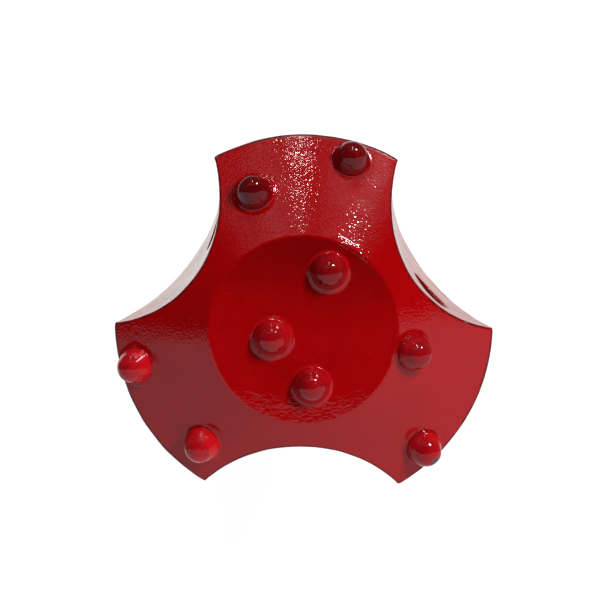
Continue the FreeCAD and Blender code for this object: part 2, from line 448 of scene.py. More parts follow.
    block = N_FLUTE + N_GAUGE
    land_f = (0.10, 0.22, 0.40, 0.60, 0.80, 0.98, 1.10)
    corner_cols = {}
    for k, az in enumerate(FLUTE_AZ):
        first = k * block + N_FLUTE
        cols = [(first + i) % n_col for i in range(N_GAUGE + 1)]
        prev = edge_top[cols]
        for step_d in land_f:
            w = step_d / GAUGE_LAND
            row = pool.add(pool.points()[edge_top[cols]] * (1 - w) + back[cols] * w)
            pool.strip(prev, row, closed=False)
            corner_cols.setdefault(("r", k), []).append(row[0])
            corner_cols.setdefault(("l", (k + 1) % 3), []).append(row[-1])
            prev = row
        pool.strip(prev, edge_back[cols], closed=False)

    # flute walls, with the flushing hole's mouth and the hole itself
    pockets = []
    for k, az in enumerate(FLUTE_AZ):
        R2 = rot(az)
        m, d = hole_axis(az)
        e1, e2 = axes_of(d)
        cols = [(k * block + i) % n_col for i in range(N_FLUTE + 1)]
        allpts = pool.points()

        def flatten(p):
            q = p[:, :2] @ R2
            return np.c_[FLUTE_R * np.arctan2(q[:, 1], flute_a(p[:, 2]) - q[:, 0]), p[:, 2]]

        def raise_(s):
            psi = s[:, 0] / FLUTE_R
            a = flute_a(s[:, 1])
            q = np.c_[a - FLUTE_R * np.cos(psi), FLUTE_R * np.sin(psi)] @ R2.T
            return np.c_[q, s[:, 1]]

        loop_ids = list(edge_top[cols]) + list(corner_cols[("r", k)]) + list(edge_back[cols][::-1]) + list(corner_cols[("l", k)][::-1])
        loop_ids = np.array(loop_ids)
        s_loop = flatten(allpts[loop_ids])
        s_all, id_all = [s_loop], [loop_ids]
        lps = [np.arange(len(s_loop))]
        cnt = len(s_loop)

        def put(s, loop=False):
            nonlocal cnt
            kk = pool.add(raise_(s))
            s_all.append(s)
            id_all.append(kk)
            if loop:
                lps.append(np.arange(cnt, cnt + len(s)))
            cnt += len(s)
            return kk

        s_top, s_bot = flatten(allpts[edge_top[cols]]), flatten(allpts[edge_back[cols]])
        half = s_top[:, 0].max()

        def normal_rows(s, side):
            t = np.gradient(s, axis=0)
            t /= np.linalg.norm(t, axis=1)[:, None]
            return np.c_[t[:, 1], -t[:, 0]] * side

        rows_s = []
        for dd in ROWS[1:]:
            for s, side in ((s_top, 1), (s_bot, -1)):
                q = s + normal_rows(s, side) * dd
                rows_s.append(q[3:-3])
            for sgn in (-1, 1):
                zz = np.linspace(BACK_Z + 0.12, GAUGE_Z - 0.12, 7)
                rows_s.append(np.c_[np.full(len(zz), sgn * (half - dd)), zz])
        rows_s = np.concatenate(rows_s)

        def mouth(rho):
            t = np.linspace(0, 2 * math.pi, N_RIM + 1)[:-1]
            base = m + rho * (np.cos(t)[:, None] * e1 + np.sin(t)[:, None] * e2)
            lo, hi = np.full(len(t), -10.0), np.full(len(t), 10.0)

            def gap(w):
                p = base + w[:, None] * d
                q = p[:, :2] @ R2
                return np.hypot(q[:, 0] - flute_a(p[:, 2]), q[:, 1]) - FLUTE_R

            for _ in range(44):
                mid = (lo + hi) / 2
                inside_body = gap(mid) > 0
                lo, hi = np.where(inside_body, mid, lo), np.where(inside_body, hi, mid)
            return base + lo[:, None] * d

        rim = mouth(FLUSH_R)
        rim_ids = pool.add(rim)
        s_rim = flatten(rim)
        s_all.append(s_rim)
        id_all.append(rim_ids)
        lps.append(np.arange(cnt, cnt + len(s_rim)))
        rim_loop = lps[-1]
        cnt += len(s_rim)
        for rho in (FLUSH_R + 0.1, FLUSH_R + 0.22, FLUSH_R + 0.38, FLUSH_R + 0.6, FLUSH_R + 0.9, FLUSH_R + 1.3):
            put(flatten(mouth(rho)), loop=rho < FLUSH_R + 0.7)
        s_far = flatten(mouth(FLUSH_R + 1.3))

        def top_z(s):
            return np.interp(s, s_top[:, 0], s_top[:, 1])

        def bot_z(s):
            return np.interp(s, s_bot[:, 0], s_bot[:, 1])

        def in_rim(s, loop):
            c = loop.mean(0)
            ang = np.arctan2(loop[:, 1] - c[1], loop[:, 0] - c[0])
            rad = np.hypot(loop[:, 0] - c[0], loop[:, 1] - c[1])
            o = np.argsort(ang)
            v = s - c
            lim = np.interp(np.arctan2(v[:, 1], v[:, 0]), ang[o], rad[o], period=2 * math.pi)
            return np.hypot(v[:, 0], v[:, 1]) / lim

        def edge_gap(s):
            """Smallest distance to the patch's own border, near enough."""
            border = np.concatenate([s_top, s_bot])
            out = np.full(len(s), 9.0)
            for i in range(0, len(s), 2000):
                dd = np.linalg.norm(s[i:i + 2000, None] - border[None], axis=2)
                out[i:i + 2000] = dd.min(1)
            return np.minimum(out, half - np.abs(s[:, 0]))

        ok = (rows_s[:, 1] < top_z(rows_s[:, 0]) - 0.06) & (rows_s[:, 1] > bot_z(rows_s[:, 0]) + 0.06) & (np.abs(rows_s[:, 0]) < half - 0.06)
        rows_s = rows_s[ok]
        # rows of one edge give way where they come close to another edge's
        keep = np.ones(len(rows_s), bool)
        grid = {}
        for i, q in enumerate(rows_s):
            key = (int(q[0] / 0.07), int(q[1] / 0.07))
            if key in grid:
                keep[i] = False
            grid[key] = i
        put(rows_s[keep])
        f = hexes(-half, half, 30.0, 72.0, 0.58)
        z_gap = np.minimum(top_z(f[:, 0]) - f[:, 1], f[:, 1] - bot_z(f[:, 0]))
        f = f[z_gap > 0.9]
        f = f[(edge_gap(f) > ROWS[-1] + 0.3) & (in_rim(f, s_far) > 1.06)]
        put(f)
        # finer points in the tapering tips
        f = hexes(-half, half, 56.0, 68.0, 0.26)
        z_gap = np.minimum(top_z(f[:, 0]) - f[:, 1], f[:, 1] - bot_z(f[:, 0]))
        tip = np.abs(f[:, 0]) > half - 4.0
        f = f[(z_gap > 0.3) & tip & (edge_gap(f) > ROWS[-1] + 0.12)]
        s_now = np.concatenate(s_all)
        if len(f):
            far = np.array([np.linalg.norm(s_now - q, axis=1).min() > 0.2 for q in f])
            put(f[far])
        S, ID = np.concatenate(s_all), np.concatenate(id_all)

        def inside_wall(mid):
            return ((mid[:, 1] < top_z(mid[:, 0]) + 1e-3) & (mid[:, 1] > bot_z(mid[:, 0]) - 1e-3)
                    & (np.abs(mid[:, 0]) < half + 0.02) & (in_rim(mid, s_rim) > 0.985))

        tri = triangulate(S, lps, inside_wall, [lps[0], rim_loop])
        pool.tris(ID[tri][:, ::-1])
        # the hole, down into the flushing chamber, where the bore opens it
        prev = rim_ids
        inner_along = -(FLUSH_MOUTH_R - 7.6) / math.cos(math.radians(FLUSH_RISE_DEG))
        t = np.linspace(0, 2 * math.pi, N_RIM + 1)[:-1]
        end = m + FLUSH_R * (np.cos(t)[:, None] * e1 + np.sin(t)[:, None] * e2) + inner_along * d
        total = np.linalg.norm(rim - end, axis=1)
        for dd in (0.1, 0.22, 0.36, 0.55, 0.8, 1.2, 1.8, 2.6):
            row = pool.add(rim + (end - rim) * (dd / total)[:, None])
            pool.strip(prev, row)
            prev = row
        start = pool.points()[prev]
        for w in np.linspace(0, 1, 15)[1:]:
            row = pool.add(start * (1 - w) + end * w)
            pool.strip(prev, row)
            prev = row
        c = pool.add([end.mean(0)])
        for i in range(N_RIM):
            pool.faces.append((int(prev[i]), int(prev[(i + 1) % N_RIM]), int(c[0])))
        pockets.append(rim_ids)

    # --- back of the head, fillet, skirt and end face
    turn = math.atan2(UX, UZ)
    tt = BACK_FILLET_R * math.tan(turn / 2)
    cone_end_z = BACK_Z - (GAUGE_R - SKIRT_R) * BACK_SLOPE
    b = (SKIRT_R + UX * tt, cone_end_z + UZ * tt)
    az_back = np.unwrap(np.arctan2(back[:, 1], back[:, 0]))
    az_low = az_back[0] + np.linspace(0, 2 * math.pi, n_col + 1)[:-1]
    shift = np.mean(az_back - az_low)
    az_low = az_low + shift
    r_b = np.hypot(back[:, 0], back[:, 1])
    slope_len = (r_b - b[0]) / UX
    prev = edge_back
    n_slope = 30
    marks = [0.1, 0.22, 0.36, 0.55]
    levels = [("d", v) for v in marks] + [("w", v) for v in np.linspace(0, 1, n_slope + 1)[1:]]
    for kind, v in levels:
        if kind == "d":
            along = np.minimum(v, slope_len * (0.02 + v * 0.1))
        else:
            base = np.minimum(0.55, slope_len * 0.075)
            along = base + (slope_len - base) * v
        w = along / slope_len
        r = r_b - along * UX
        az = az_back * (1 - w) + az_low * w
        row = pool.add(np.c_[r * np.cos(az), r * np.sin(az), back[:, 2] - along * UZ])
        pool.strip(prev, row)
        prev = row
    prof = []
    centre = (SKIRT_R + BACK_FILLET_R, cone_end_z - tt)
    for q in np.linspace(0, 1, 9)[1:]:
        ang = math.pi - turn * (1 - q)
        prof.append((centre[0] + BACK_FILLET_R * math.cos(ang), centre[1] + BACK_FILLET_R * math.sin(ang)))
    z0 = centre[1]
    prof += [(SKIRT_R, z) for z in np.arange(z0 - 0.92, SKIRT_CHAMFER + 0.5, -0.92)]
    # rounded chamfer and end face
    ch = [(SKIRT_R, SKIRT_CHAMFER + 0.35), (SKIRT_R - 0.02, SKIRT_CHAMFER + 0.17), (SKIRT_R - 0.09, SKIRT_CHAMFER - 0.02),
          (SKIRT_R - 0.22, SKIRT_CHAMFER - 0.2)]
    ch += [(SKIRT_R - SKIRT_CHAMFER * w, SKIRT_CHAMFER * (1 - w)) for w in (0.35, 0.5, 0.65, 0.8)]
    ch += [(SKIRT_R - SKIRT_CHAMFER - 0.02, 0.09), (SKIRT_R - SKIRT_CHAMFER - 0.2, 0.02), (SKIRT_R - SKIRT_CHAMFER - 0.4, 0.0)]
    prof += ch
    prof += [(r, 0.0) for r in np.arange(SKIRT_R - SKIRT_CHAMFER - 1.0, PILOT_R - 3.0, -0.75)]
    for r, z in prof:
        row = pool.add(np.c_[r * np.cos(az_low), r * np.sin(az_low), np.full(n_col, z)])
        pool.strip(prev, row)
        prev = row
    c = pool.add([[0, 0, 0.0]])
    for i in range(n_col):
        pool.faces.append((int(prev[i]), int(prev[(i + 1) % n_col]), int(c[0])))

    # --- sockets
    for name, r, az in BUTTONS:
        foot, n = seats[name]
        e1, e2 = axes_of(n)
        t = np.linspace(0, 2 * math.pi, N_RIM + 1)[:-1]
        prev = rims[name]
        for h, rho in ((-0.6, BTN_R + 0.015), (-3.5, BTN_R + 0.015), (-BTN_SHANK + 0.45, BTN_R + 0.015), (-BTN_SHANK - 0.02, BTN_R - 0.45)):
            row = pool.add(foot + h * n + rho * (np.cos(t)[:, None] * e1 + np.sin(t)[:, None] * e2))
            pool.strip(row, prev)
            prev = row
        c = pool.add([foot - (BTN_SHANK + 0.02) * n])
        for i in range(N_RIM):
            pool.faces.append((int(prev[(i + 1) % N_RIM]), int(prev[i]), int(c[0])))
    return pool, seats, rims


pool, seats, rims = build_body()
P = pool.points()
print("body skin", len(P), len(pool.faces))

# ------------------------------------------------------------------ from points to Blender meshes
MM = 0.001


def make_mesh(name, pts, faces, outward=True):
    me = bpy.data.meshes.new(name)
    me.from_pydata((np.asarray(pts) * MM).tolist(), [], [tuple(f) for f in faces])
    me.update()
    if outward:
        bm = bmesh.new()
        bm.from_mesh(me)
        bmesh.ops.recalc_face_normals(bm, faces=bm.faces)
        bm.to_mesh(me)
        bm.free()
    for poly in me.polygons:
        poly.use_smooth = True
    return me


def verts(me):
    co = np.empty(len(me.vertices) * 3, np.float32)
    me.vertices.foreach_get("co", co)
    return co.reshape(-1, 3).astype(float) / MM


def normals(me):
    no = np.empty(len(me.vertices) * 3, np.float32)
    me.vertices.foreach_get("normal", no)
    return no.reshape(-1, 3).astype(float)


def set_verts(me, p):
    me.vertices.foreach_set("co", (np.asarray(p) * MM).astype(np.float32).ravel())
    me.update()


def smooth_profile(knots, blur=0.035):
    """A profile through (distance, height) knots with its corners eased."""
    x = np.arange(knots[0][0] - 0.3, knots[-1][0] + 0.3, 0.01)
    y = np.interp(x, [k[0] for k in knots], [k[1] for k in knots])
    w = np.exp(-0.5 * (np.arange(-12, 13) * 0.01 / blur) ** 2)
    y2 = np.convolve(np.pad(y, 12, mode="edge"), w / w.sum(), mode="valid")
    return x, y2


# --- the painted skin, settled on its rounded edges
f0 = outside(P)
lively = (P[:, 2] > 32.8) & (np.abs(f0) < 0.5)
socket_first = pool.count - len(BUTTONS) * (4 * N_RIM + 1)
lively[socket_first:] = False
P[lively] = settle(P[lively])

# enamel foot around each button
foot_shapes = {True: smooth_profile(FOOT_DISC), False: smooth_profile(FOOT_BEVEL)}
foot_near = np.full(len(P), 9.0)
for k, (name, r, az) in enumerate(BUTTONS):
    foot, n = seats[name]
    e1, e2 = axes_of(n)
    v = P - foot
    up = v @ n
    off = np.linalg.norm(v - up[:, None] * n, axis=1)
    m = (off < 6.0) & (np.abs(up) < 3.2) & (np.arange(len(P)) < socket_first)
    q = P[m]
    lump = noise(q, 2.3, 21 + k)
    fine = noise(q, 0.9, 41 + k)
    grow = step(off[m], 3.75, 4.3)
    rho = off[m] - grow * (FOOT_WIDER.get(name, 0.0) + 0.13 * lump + 0.04 * fine)
    x, y = foot_shapes[name not in CREASED]
    h = np.interp(rho, x, y) * (1 + grow * (0.16 * noise(q, 3.1, 61 + k) + 0.10 * fine))
    # runs and wrinkles in the pool, strongest on the lower side
    runs = 0.25 if name in CREASED else 1.0
    h += runs * step(off[m], 3.72, 3.95) * step(5.3 - off[m], 0.3, 1.0) * (0.016 * noise(q, 0.8, 101 + k) + 0.030 * noise(q, 1.35, 111 + k))
    h *= step(up[m], -1.3, -0.25)
    P[m] += h[:, None] * n
    foot_near[m] = np.minimum(foot_near[m], off[m])

skin = make_mesh("skin", P, pool.faces)
N = normals(skin)
P = verts(skin)
R_ = np.hypot(P[:, 0], P[:, 1])
AZ_ = np.degrees(np.arctan2(P[:, 1], P[:, 0]))
on_disc = step(FACE_R - R_, -0.3, 1.2) * (P[:, 2] > 73)
front = step(P[:, 2], 62.2, 63.2) * step(N[:, 2], 0.35, 0.6)
quiet = np.where(np.arange(len(P)) >= socket_first, 0.0, 1.0)
quiet *= 1 - step(5.0 - foot_near, 0.6, 1.4) * 0.15
quiet *= step(R_, 16.0, 18.0) + (P[:, 2] > 50)
quiet = np.clip(quiet, 0, 1)
# casting waviness everywhere, least on the faced centre, most on the back and in the flutes
rough_zone = (1 - front)
amp_long = 0.012 * on_disc + 0.034 * front * (1 - on_disc) + 0.085 * rough_zone * step(P[:, 2], 1.0, 3.0)
move = amp_long * noise(P, 9.0, 1) + 0.55 * amp_long * noise(P, 4.2, 2)
move += rough_zone * step(P[:, 2], 1.5, 3.5) * (0.022 * noise(P, 2.1, 3) + 0.010 * noise(P, 1.2, 4))
# thick enamel that gathered in ripples by the lower rim of the centre face, and pebbles above it
ripple_zone = on_disc * step(-P[:, 1], 9.5, 15.0) * step(R_, 10.0, 14.0)
q = P.copy()
q[:, 1] *= 1.9
q[:, 0] += 0.6 * noise(P, 3.0, 9)
move += ripple_zone * (0.030 * noise(q, 2.3, 7) + 0.014 * noise(q, 1.25, 8))
pebble = front * (1 - on_disc) * (0.35 + 0.65 * step(P[:, 1], -4.0, 10.0))
pebble *= 0.2 + 0.8 * step(np.linalg.norm(P - (15.0, 27.5, 68.0), axis=1), 9.5, 13.0)
move += pebble * (0.008 * noise(P, 1.7, 11) + 0.005 * noise(P, 1.15, 12))
# the +Y wing lies slightly crowned between the centre face and the rim
move += front * step(R_, 18.8, 19.6) * step(P[:, 1], 8.0, 16.0) * step(13.0 - P[:, 0], 0.0, 8.0) * 0.09 * (0.81 - ((R_ - 28.0) / 10.0) ** 2)
P = P + N * (move * quiet)[:, None]
set_verts(skin, P)


# --- the bore, with its left-hand rope thread
def bore_radius(th, z):
    pts = ((-2.0, PILOT_R + MOUTH_CHAMFER + 1.0), (-0.6, PILOT_R + MOUTH_CHAMFER + 0.6), (0.0, PILOT_R + MOUTH_CHAMFER),
           (MOUTH_CHAMFER, PILOT_R), (PILOT_L, PILOT_R), (PILOT_L + 1.2, THREAD_CREST_R),
           (ROD_STOP_Z - RELIEF_L - 1.2, THREAD_CREST_R), (ROD_STOP_Z - RELIEF_L, RELIEF_R), (ROD_STOP_Z, RELIEF_R))
    base = np.interp(z, [p[0] for p in pts], [p[1] for p in pts])
    lead = math.cos(math.atan(THREAD_PITCH / (2 * math.pi * (THREAD_ROOT_R - GROOVE_R))))
    c = PILOT_L - 4.0 - THREAD_PITCH * th / (2 * math.pi)
    dz = (z - c + THREAD_PITCH / 2) % THREAD_PITCH - THREAD_PITCH / 2
    groove = THREAD_ROOT_R - GROOVE_R + np.sqrt(np.maximum(GROOVE_R ** 2 - (dz * lead) ** 2, 0))
    k = 0.22
    soft = 0.5 * (base + groove + np.sqrt((base - groove) ** 2 + k * k))
    live = (z > PILOT_L - 0.2) & (z < ROD_STOP_Z - RELIEF_L + 1)
    return np.where(live, soft - 0.5 * k * np.exp(-np.abs(base - groove) / k) * 0.4, base)


def build_bore():
    pts, faces = [], []
    n = 120
    th = np.linspace(0, 2 * math.pi, n + 1)[:-1]
    zs = np.unique(np.round(np.r_[-2.0, -0.6, 0.0, 0.25, 0.5, 0.62, np.arange(1.2, 5.7, 0.9), 5.85, 6.0, 6.2,
                                  np.arange(6.5, 42.8, 0.62), 42.8, 43.0, 43.6, 44.0, 44.15, np.arange(44.8, 48.9, 0.8), 48.85, 49.0], 3))
    rows = []
    for z in zs:
        r = bore_radius(th, np.full(n, z))
        rows.append(np.c_[r * np.cos(th), r * np.sin(th), np.full(n, z)])
    for r in (16.2, 15.0, 13.8, 12.6, 11.35, 11.1):
        rows.append(np.c_[r * np.cos(th), r * np.sin(th), np.full(n, ROD_STOP_Z)])
    rows.append(np.c_[11.0 * np.cos(th), 11.0 * np.sin(th), np.full(n, ROD_STOP_Z + 0.12)])
    for z in np.r_[np.arange(49.7, 59.8, 0.9), 59.9]:
        rows.append(np.c_[CHAMBER_R * np.cos(th), CHAMBER_R * np.sin(th), np.full(n, z)])
    for r in (10.85, 9.5, 7.5, 5.0, 2.5, 0.8):
        z = CHAMBER_TOP + (CHAMBER_R - r) / CHAMBER_R * (CHAMBER_TIP - CHAMBER_TOP)
        rows.append(np.c_[r * np.cos(th), r * np.sin(th), np.full(n, z)])
    pts = np.concatenate(rows)
    # tool marks and casting texture, a few hundredths deep
    nn = pts.copy()
    nn[:, 2] = 0
    nn /= np.maximum(np.linalg.norm(nn, axis=1), 1e-9)[:, None]
    wob = 0.02 * noise(pts * [1, 1, 2.2], 2.0, 31) + 0.03 * noise(pts, 6.0, 32)
    pts += nn * (wob * (pts[:, 2] > 1.0))[:, None]
    for k in range(len(rows) - 1):
        for i in range(n):
            j = (i + 1) % n
            faces.append((k * n + i, k * n + j, (k + 1) * n + j, (k + 1) * n + i))
    m = len(pts)
    pts = np.concatenate([pts, [[0, 0, -2.0], [0, 0, CHAMBER_TIP]]])
    last = (len(rows) - 1) * n
    for i in range(n):
        j = (i + 1) % n
        faces.append((j, i, m))
        faces.append((last + i, last + j, m + 1))
    return make_mesh("bore", pts, faces)


body = bpy.data.objects.new("painted_bit_body", skin)
bpy.context.scene.collection.objects.link(body)
cutter = bpy.data.objects.new("bore_cutter", build_bore())
bpy.context.scene.collection.objects.link(cutter)
mod = body.modifiers.new("bore", "BOOLEAN")
mod.operation, mod.solver, mod.object = "DIFFERENCE", "MANIFOLD", cutter
dg = bpy.context.evaluated_depsgraph_get()
cut = bpy.data.meshes.new_from_object(body.evaluated_get(dg))
body.modifiers.clear()
body.data = cut
body.data.name = "painted_bit_body"
bpy.data.objects.remove(cutter)
cut.materials.clear()
for poly in cut.polygons:
    poly.use_smooth = True
print("body", len(cut.vertices), "points", len(cut.polygons), "faces")

# --- which faces are bare bore, and what the shaders need to know about each point
V = verts(cut)
NV = normals(cut)
rv = np.hypot(V[:, 0], V[:, 1])


def attribute(me, name, values):
    a = me.attributes.get(name) or me.attributes.new(name, "FLOAT", "POINT")
    a.data.foreach_set("value", np.clip(values, 0, 1).astype(np.float32))


def edge_closeness(p):
    """1 on the head's outer edges, falling to 0 about a millimetre away."""
    x, y, z = p[:, 0], p[:, 1], p[:, 2]
    r = np.hypot(x, y)
    face = np.maximum(z - TOTAL_H, (r - FACE_R) * SB + (z - TOTAL_H) * CB)
    ds = [face, r - GAUGE_R, (r - GAUGE_R) * UZ - (z - BACK_Z) * UX]
    for az in FLUTE_AZ:
        q2 = np.stack([x, y], 1) @ rot(az)
        ds.append(FLUTE_R - np.hypot(q2[:, 0] - flute_a(z), q2[:, 1]))
    ds = np.sort(np.stack(ds), axis=0)[::-1]
    gap = np.where(z > 33, -ds[1], 9.0)
    low = np.minimum(np.hypot(r - SKIRT_R, z - SKIRT_CHAMFER), np.hypot(r - (SKIRT_R - SKIRT_CHAMFER), z))
    return 1 - step(np.minimum(gap, low), 0.1, 1.0)


attribute(cut, "edge", edge_closeness(V))
near = np.full(len(V), 9.0)
for name, r, az in BUTTONS:
    foot, n = seats[name]
    v = V - foot
    up = v @ n
    off = np.linalg.norm(v - up[:, None] * n, axis=1)
    near = np.where(np.abs(up) < 3, np.minimum(near, off), near)
attribute(cut, "foot", 1 - step(near, 3.7, 5.2))
# how far each point lies down a flushing hole, which the body shader turns into painted shade
pit = np.zeros(len(V))
for az in FLUTE_AZ:
    m, d = hole_axis(az)
    v = V - m
    along = v @ d
    off = np.linalg.norm(v - along[:, None] * d, axis=1)
    q2 = V[:, :2] @ rot(az)
    deep_in = np.hypot(q2[:, 0] - flute_a(V[:, 2]), q2[:, 1]) - FLUTE_R
    pit = np.where((off < FLUSH_R + 0.25) & (along > -16), np.maximum(pit, step(deep_in, 0.05, 0.9)), pit)
attribute(cut, "pit", pit)
mid = np.empty(len(cut.polygons) * 3, np.float32)
cut.polygons.foreach_get("center", mid)
mid = mid.reshape(-1, 3) / MM
in_bore = (np.hypot(mid[:, 0], mid[:, 1]) < 16.93) & (mid[:, 2] > 0.001) & (mid[:, 2] < 62.4)
for name, r, az in BUTTONS:
    foot, n = seats[name]
    v = mid - foot
    up = v @ n
    off = np.linalg.norm(v - up[:, None] * n, axis=1)
    in_bore &= ~((off < 3.7) & (up < 0) & (up > -8.1))
cut.polygons.foreach_set("material_index", in_bore.astype(np.int32))


# ------------------------------------------------------------------ buttons
def button_profile():
    """(distance from the axis, height) of a painted button, from the shank's foot to the tip."""
    low = [(0.0, -BTN_SHANK), (1.4, -BTN_SHANK), (2.6, -BTN_SHANK), (3.125, -BTN_SHANK), (3.3, -BTN_SHANK + 0.17),
           (BTN_R, -BTN_SHANK + 0.5)]
    low += [(BTN_R, z) for z in (-7.0, -5.5, -4.0, -2.5, -1.2, -0.4, 0.05, 0.2)]
    low += [(3.66, 0.30), (3.690, 0.38), (3.705, 0.47), (3.712, 0.58), (3.710, 0.70), (3.696, 0.82), (3.672, 0.94), (3.640, 1.06)]
    # a short full cone, and a nose tangent to it
    cap_r, cap_c, el = BTN_NOSE_R + 0.01, BTN_TIP_H - BTN_NOSE_R, math.radians(17.0)
    end = (cap_r * math.cos(el), cap_c + cap_r * math.sin(el))
    k = 14
    flank = []
    for i in range(1, k + 1):
        w = i / k
        bulge = 0.045 * math.sin(math.pi * w)
        flank.append((3.64 + (end[0] - 3.64) * w + bulge, 1.06 + (end[1] - 1.06) * w + bulge * 0.3))
    cap = []
    for a in np.linspace(el, math.pi / 2, 42)[1:]:
        cap.append((cap_r * math.cos(a), cap_c + cap_r * math.sin(a)))
    cap[-1] = (0.0, cap_c + cap_r)
    return low + flank + cap


def build_button(name, r, az, seed):
    foot, n = seat(r, az)
    e1, e2 = axes_of(n)
    prof = button_profile()
    cols = 96
    t = np.linspace(0, 2 * math.pi, cols + 1)[:-1]
    pts, faces = [], []
    rows = []
    for rho, h in prof[1:-1]:
        rows.append(foot + h * n + rho * (np.cos(t)[:, None] * e1 + np.sin(t)[:, None] * e2))
    pts = np.concatenate(rows + [np.array([foot + prof[0][1] * n, foot + prof[-1][1] * n])])
    nr = len(rows)
    for k in range(nr - 1):
        for i in range(cols):
            j = (i + 1) % cols
            faces.append((k * cols + i, k * cols + j, (k + 1) * cols + j, (k + 1) * cols + i))
    b, tip = nr * cols, nr * cols + 1
    for i in range(cols):
        j = (i + 1) % cols
        faces.append((j, i, b))
        faces.append(((nr - 1) * cols + i, (nr - 1) * cols + j, tip))
    me = make_mesh(name + "_enamel", pts, faces)
    p, no = verts(me), normals(me)
    h = (p - foot) @ n
    show = step(h, 0.45, 1.0)
    nose = step(h, 2.9, 4.2)
    # enamel runs down the flank in uneven tongues and lies smooth over the nose
    q = p - foot
    around = np.arctan2(q @ e2, q @ e1)
    run = np.c_[np.cos(around) * 3.2, np.sin(around) * 3.2, h * 0.45]
    d = show * (1 - nose) * (0.060 * noise(run, 1.9, 70 + seed) + 0.020 * noise(p, 0.95, 80 + seed))
    d += show * nose * (0.014 * noise(p, 1.5, 90 + seed) + 0.030 * noise(p, 2.9, 92 + seed))
    d = d * LUMPY.get(name, 1.0) + show * 0.045 * noise(p, 4.5, 95 + seed)
    d += show * (LUMPY.get(name, 1.0) - 1.0) * 0.024 * noise(p, 0.95, 98 + seed)
    set_verts(me, p + no * d[:, None])
    ob = bpy.data.objects.new(name + "_enamel", me)
    bpy.context.scene.collection.objects.link(ob)
    p = verts(me)
    h = (p - foot) @ n
    attribute(me, "nose", step(h, 2.4, 3.6))
    attribute(me, "tip", step(h, 4.1, 5.0))
    attribute(me, "tone", np.full(len(p), TONE[name]))
    attribute(me, "matt", np.full(len(p), MATT.get(name, 0.0)))
    return ob


buttons = {}
for k, (name, r, az) in enumerate(BUTTONS):
    buttons[name] = build_button(name, r, az, 23 if k == 1 else k)


# ------------------------------------------------------------------ materials
class Nodes:
    """Small helper for node trees."""
    def __init__(self, material):
        material.use_nodes = True
        self.t = material.node_tree
        self.t.nodes.clear()

    def new(self, kind, **sockets):
        n = self.t.nodes.new(kind)
        for k, v in sockets.items():
            k2 = k.replace("_", " ")
            if k2 in n.inputs:
                self.put(n.inputs[k2], v)
            else:
                setattr(n, k, v)
        return n

    def put(self, socket, v):
        if isinstance(v, bpy.types.NodeSocket):
            self.t.links.new(v, socket)
        elif isinstance(v, (tuple, list)) and socket.type == "RGBA" and len(v) == 3:
            socket.default_value = (*v, 1.0)
        else:
            socket.default_value = v

    def math(self, op, a, b=0.0, c=None, clamp=False):
        n = self.t.nodes.new("ShaderNodeMath")
        n.operation, n.use_clamp = op, clamp
        self.put(n.inputs[0], a)
        self.put(n.inputs[1], b)
        if c is not None:
            self.put(n.inputs[2], c)
        return n.outputs[0]

    def ramp(self, value, a, b, lo=0.0, hi=1.0, smooth=True):
        n = self.t.nodes.new("ShaderNodeMapRange")
        n.interpolation_type = "SMOOTHSTEP" if smooth else "LINEAR"
        for k, v in (("Value", value), ("From Min", a), ("From Max", b), ("To Min", lo), ("To Max", hi)):
            self.put(n.inputs[k], v)
        return n.outputs[0]

    def mix(self, factor, a, b):
        n = self.t.nodes.new("ShaderNodeMix")
        n.data_type = "RGBA"
        self.put(n.inputs[0], factor)
        self.put(n.inputs[6], a)
        self.put(n.inputs[7], b)
        return n.outputs[2]

    def noise(self, vector, scale, detail=2.0, rough=0.5, distort=0.0):
        n = self.t.nodes.new("ShaderNodeTexNoise")
        self.put(n.inputs["Vector"], vector)
        self.put(n.inputs["Scale"], scale)
        self.put(n.inputs["Detail"], detail)
        self.put(n.inputs["Roughness"], rough)
        self.put(n.inputs["Distortion"], distort)
        return n.outputs["Fac"]

    def voronoi(self, vector, scale, feature="F1", random=1.0):
        n = self.t.nodes.new("ShaderNodeTexVoronoi")
        n.feature = feature
        self.put(n.inputs["Vector"], vector)
        self.put(n.inputs["Scale"], scale)
        self.put(n.inputs["Randomness"], random)
        return n.outputs["Distance"]

    def attr(self, name):
        n = self.t.nodes.new("ShaderNodeAttribute")
        n.attribute_name = name
        return n.outputs["Fac"]

    def bump(self, height, distance, strength=1.0, normal=None):
        n = self.t.nodes.new("ShaderNodeBump")
        self.put(n.inputs["Height"], height)
        self.put(n.inputs["Distance"], distance)
        self.put(n.inputs["Strength"], strength)
        if normal is not None:
            self.put(n.inputs["Normal"], normal)
        return n.outputs["Normal"]

    def scaled(self, vector, sx, sy, sz):
        n = self.t.nodes.new("ShaderNodeMapping")
        self.put(n.inputs["Vector"], vector)
        n.inputs["Scale"].default_value = (sx, sy, sz)
        return n.outputs[0]

    def knock(self, vector, at, size):
        """A ragged spot of bare metal around one point."""
        n = self.t.nodes.new("ShaderNodeVectorMath")
        n.operation = "DISTANCE"
        self.put(n.inputs[0], vector)
        n.inputs[1].default_value = at
        ragged = self.math("MULTIPLY", self.math("SUBTRACT", self.noise(vector, 0.9, 3.0, 0.6), 0.5), 1.6 * size)
        return self.ramp(self.math("ADD", n.outputs["Value"], ragged), size * 1.06, size * 0.88)


RED = (0.33, 0.0006, 0.0016)
RED_DEEP = (0.18, 0.0004, 0.0008)
RED_THIN = (0.37, 0.012, 0.012)


def position(g):
    """Object position in millimetres and its parts."""
    tc = g.new("ShaderNodeTexCoord")
    s = g.t.nodes.new("ShaderNodeVectorMath")
    s.operation = "SCALE"
    g.put(s.inputs[0], tc.outputs["Object"])
    s.inputs["Scale"].default_value = 1000.0
    v = s.outputs[0]
    sep = g.new("ShaderNodeSeparateXYZ", Vector=v)
    x, y, z = sep.outputs
    r = g.math("SQRT", g.math("ADD", g.math("MULTIPLY", x, x), g.math("MULTIPLY", y, y)))
    return v, x, y, z, r


